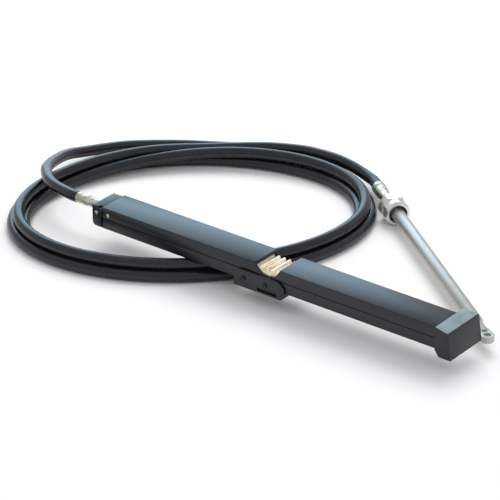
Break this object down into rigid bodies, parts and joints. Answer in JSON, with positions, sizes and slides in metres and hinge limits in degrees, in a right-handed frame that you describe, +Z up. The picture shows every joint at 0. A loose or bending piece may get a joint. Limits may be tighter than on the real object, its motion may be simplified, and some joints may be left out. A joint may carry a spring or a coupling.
{
  "type": "boat_steering_cable",
  "caption": "Rack-style boat steering cable: long channel housing with a greased rack, jacketed push-pull conduit lying in a coil, coupling nut and sliding output ram",
  "frame": {"origin": "bottom centre of the rack housing unit and the output end together, without the conduit, on the floor that the part lies on", "axes": "+X along the rack housing from its conduit end to its capped end, +Y across the housing toward the output ram, +Z up"},
  "size_m": [0.6878, 0.4103, 0.0549],
  "materials": {
    "channel_black": "satin black with a blue-grey sheen",
    "cap_blue_grey": "satin blue-grey",
    "rack_greased": "machined steel under cream grease",
    "ferrule_zinc": "yellowish zinc plate, crimped",
    "stainless": "bright stainless steel",
    "conduit_jacket": "satin black plastic jacket"
  },
  "bodies": {
    "base": {"rack_housing": "channel_black", "end_cap": "cap_blue_grey", "end_fitting": "channel_black", "input_ferrule": "ferrule_zinc", "saddle_bracket": "channel_black", "saddle_screw_1": "channel_black", "saddle_screw_2": "channel_black", "end_screw_1": "ferrule_zinc", "end_screw_2": "ferrule_zinc", "output_ferrule": "ferrule_zinc", "guide_tube": "stainless", "conduit_coil": "conduit_jacket", "conduit_input_lead": "conduit_jacket", "conduit_output_lead": "conduit_jacket"},
    "rack": {"rack_bar": "rack_greased"},
    "ram": {"ram_tube": "stainless"},
    "nut": {"coupling_nut": "stainless"}
  },
  "joints": [
    {"name": "rack_slide", "type": "slide", "parent": "base", "child": "rack", "axis": [-1, 0, 0], "range_m": [0, 0.2286]},
    {"name": "ram_slide", "type": "slide", "parent": "base", "child": "ram", "axis": [0.8033, -0.5955, 0], "range_m": [0, 0.2286]},
    {"name": "nut_spin", "type": "hinge", "parent": "base", "child": "nut", "pos_m": [0.00857, 0.11486, 0.01588], "axis": [0.8033, -0.5955, 0], "continuous": true}
  ],
  "couplings": [
    {"joint": "ram_slide", "follows": "rack_slide", "ratio": 1}
  ]
}
